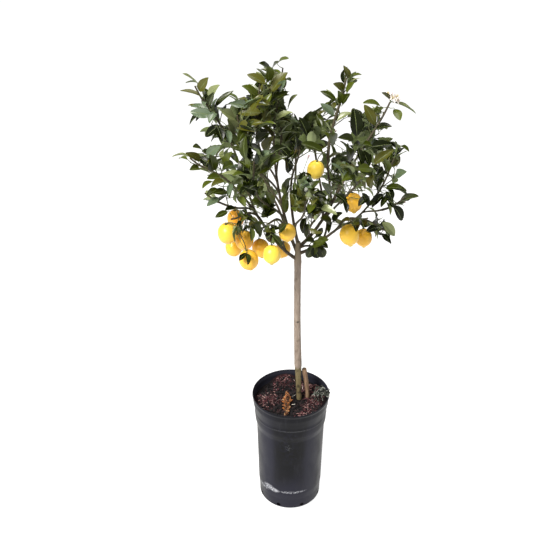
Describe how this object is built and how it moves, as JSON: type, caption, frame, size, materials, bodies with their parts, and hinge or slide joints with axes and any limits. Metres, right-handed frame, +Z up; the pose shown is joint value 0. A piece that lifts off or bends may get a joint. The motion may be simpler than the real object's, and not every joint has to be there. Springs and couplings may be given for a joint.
{
  "type": "potted four seasons lemon tree",
  "caption": "Small lemon tree on a clear stem, with an open round crown of glossy leaves, blossom and yellow fruit, standing in a tall dark nursery pot filled with soil.",
  "frame": {"origin": "centre of the pot's flat underside, on the ground", "axes": "+Z up along the pot's axis, +X to the right and -Y towards the viewer of the front of the crown"},
  "size_m": [0.5706, 0.4773, 1.2606],
  "materials": {
    "pot_plastic": "dark charcoal plastic with a soft sheen",
    "soil": "dark crumbly substrate with reddish bark",
    "bark": "greyish brown, finely cracked bark",
    "stub_bark": "dry orange-brown bark",
    "foliage": "glossy dark green leaves",
    "dry_leaf": "crinkled orange-brown",
    "moss": "grey-green, matt"
  },
  "bodies": {
    "root": {"pot": "pot_plastic", "soil": "soil", "dry_leaf": "dry_leaf", "moss": "moss", "trunk": "bark", "stub": "stub_bark", "bough_left": "bark", "bough_left_low": "bark", "bough_left_fruit": "bark", "bough_left_top": "bark", "bough_top": "bark", "bough_column": "bark", "bough_upper_left": "bark", "bough_front_left": "bark", "bough_back_left": "bark", "bough_upper_back": "bark", "bough_centre": "bark", "bough_front_centre": "bark", "bough_back_mid": "bark", "bough_front_fruit": "bark", "bough_right": "bark", "bough_upright": "bark", "bough_spire": "bark", "bough_front_right": "bark", "bough_back_right": "bark", "bough_right_low": "bark", "bough_right_fruit": "bark", "bough_right_mid": "bark", "bough_right_out": "bark", "bough_low_back": "bark", "bough_low_back_right": "bark", "bough_inner": "bark", "bough_tuft": "bark", "foliage_left": "foliage", "foliage_left_low": "foliage", "foliage_left_fruit": "foliage", "foliage_left_top": "foliage", "foliage_top": "foliage", "foliage_column": "foliage", "foliage_upper_left": "foliage", "foliage_front_left": "foliage", "foliage_back_left": "foliage", "foliage_upper_back": "foliage", "foliage_centre": "foliage", "foliage_front_centre": "foliage", "foliage_back_mid": "foliage", "foliage_front_fruit": "foliage", "foliage_right": "foliage", "foliage_upright": "foliage", "foliage_spire": "foliage", "foliage_front_right": "foliage", "foliage_back_right": "foliage", "foliage_right_low": "foliage", "foliage_right_fruit": "foliage", "foliage_right_mid": "foliage", "foliage_right_out": "foliage", "foliage_low_back": "foliage", "foliage_low_back_right": "foliage", "foliage_inner": "foliage", "foliage_tuft": "foliage"}
  },
  "joints": []
}
